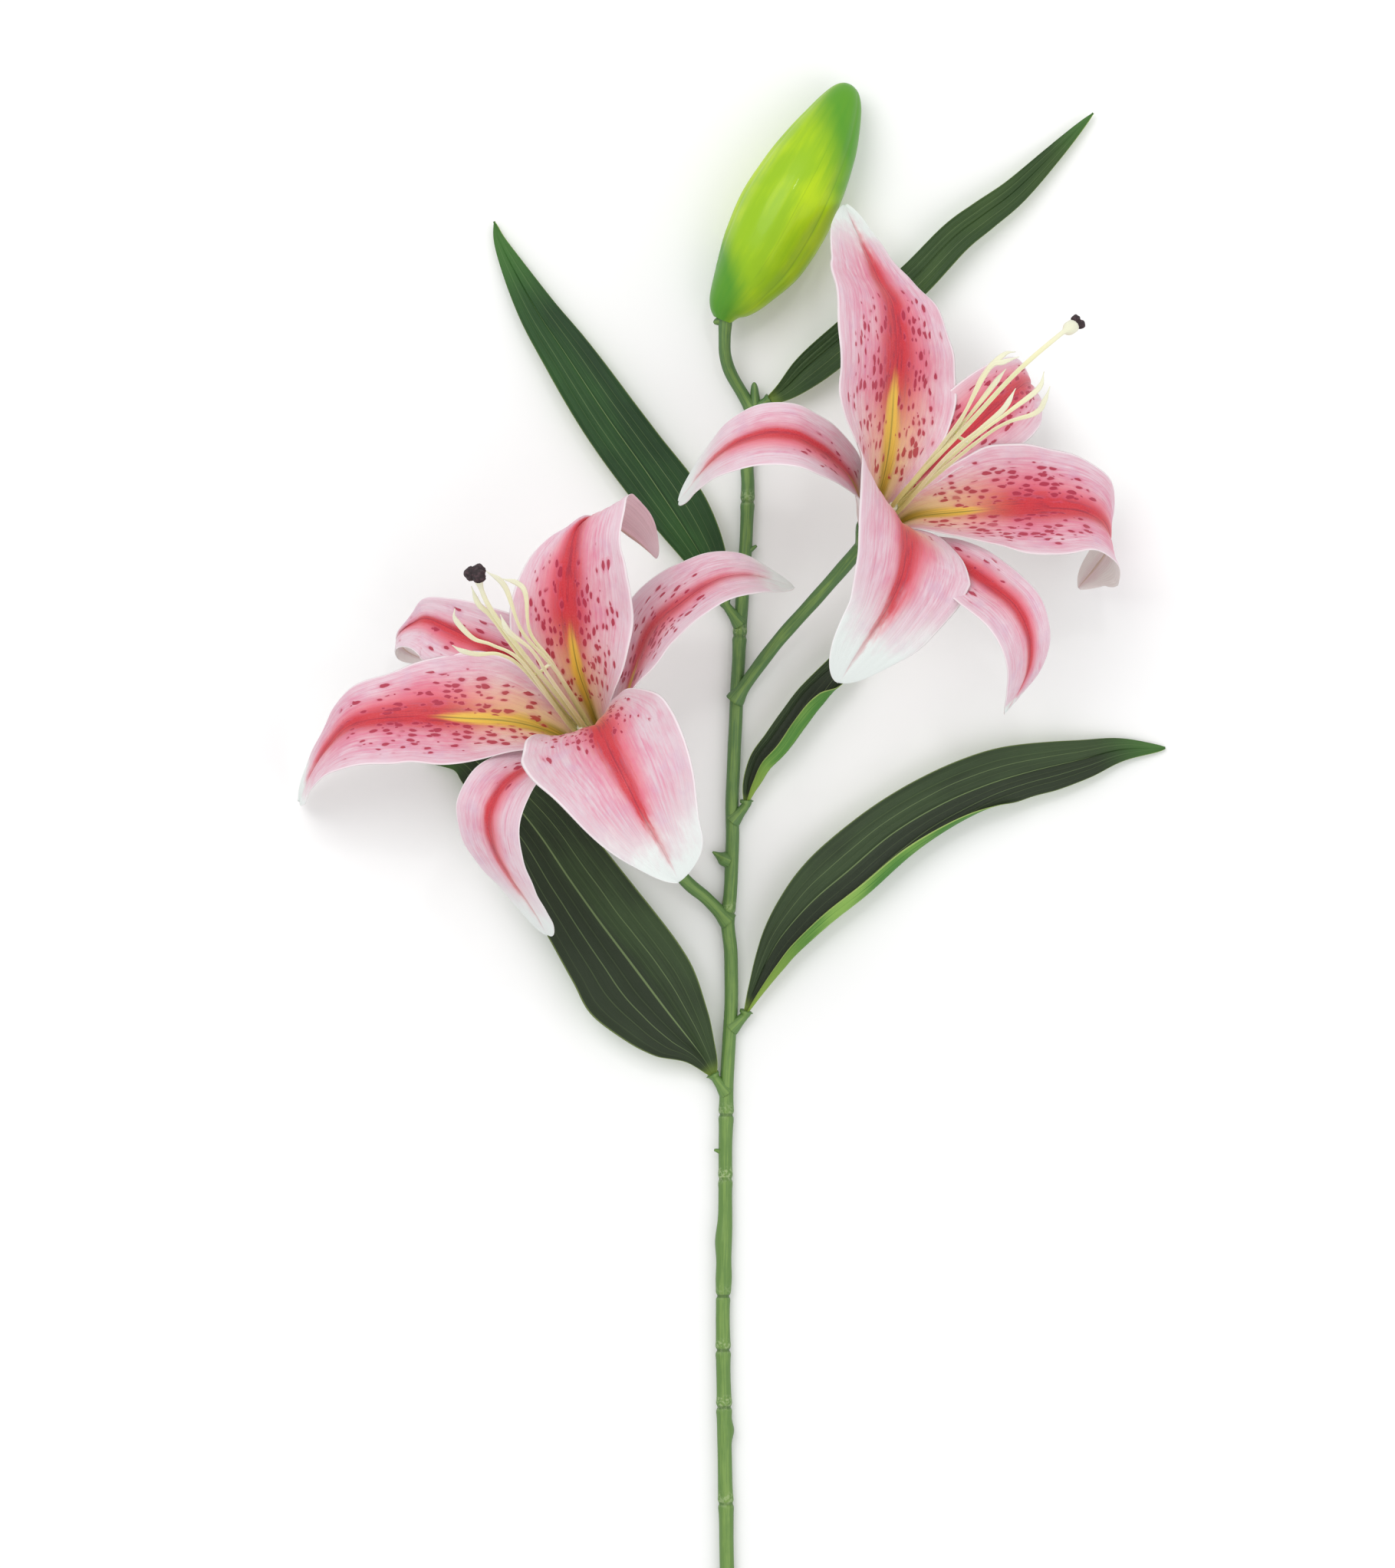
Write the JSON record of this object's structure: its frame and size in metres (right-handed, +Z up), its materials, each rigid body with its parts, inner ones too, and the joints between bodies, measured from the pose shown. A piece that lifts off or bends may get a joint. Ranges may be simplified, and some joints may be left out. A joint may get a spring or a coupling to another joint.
{
  "type": "cut lily",
  "caption": "Cut lily spray lying flat: a straight green stem with long pointed leaves, a closed bud and open trumpet blooms with curled, spotted petals, for filling a vase",
  "frame": {"origin": "on the surface the spray lies on, under the middle of its bounding box", "axes": "+Z is up from the surface; +Y runs along the stem from its cut end to the bud; +X is to the right when looking down with the bud at the top"},
  "size_m": [0.2955, 0.6006, 0.1062],
  "materials": {
    "stem": "satin green stem",
    "leaf": "dark green leaf, satin",
    "bud": "glossy yellow-green bud",
    "tepal": "pink petal with a crimson middle and white margins",
    "stamen": "pale green-yellow, velvety",
    "stigma": "dark, dull"
  },
  "bodies": {
    "root": {"main_stem": "stem", "leaf_upper_left": "leaf", "leaf_upper_right": "leaf", "leaf_middle_right": "leaf", "leaf_lower_right": "leaf", "leaf_lower_left": "leaf", "bud": "bud", "left_inner_tepal_1": "tepal", "left_inner_tepal_2": "tepal", "left_inner_tepal_3": "tepal", "left_outer_tepal_1": "tepal", "left_outer_tepal_2": "tepal", "left_outer_tepal_3": "tepal", "right_inner_tepal_1": "tepal", "right_inner_tepal_2": "tepal", "right_inner_tepal_3": "tepal", "right_outer_tepal_1": "tepal", "right_outer_tepal_2": "tepal", "right_outer_tepal_3": "tepal", "left_stamens": "stamen", "right_stamens": "stamen", "left_stigma": "stigma", "right_stigma": "stigma"}
  },
  "joints": []
}
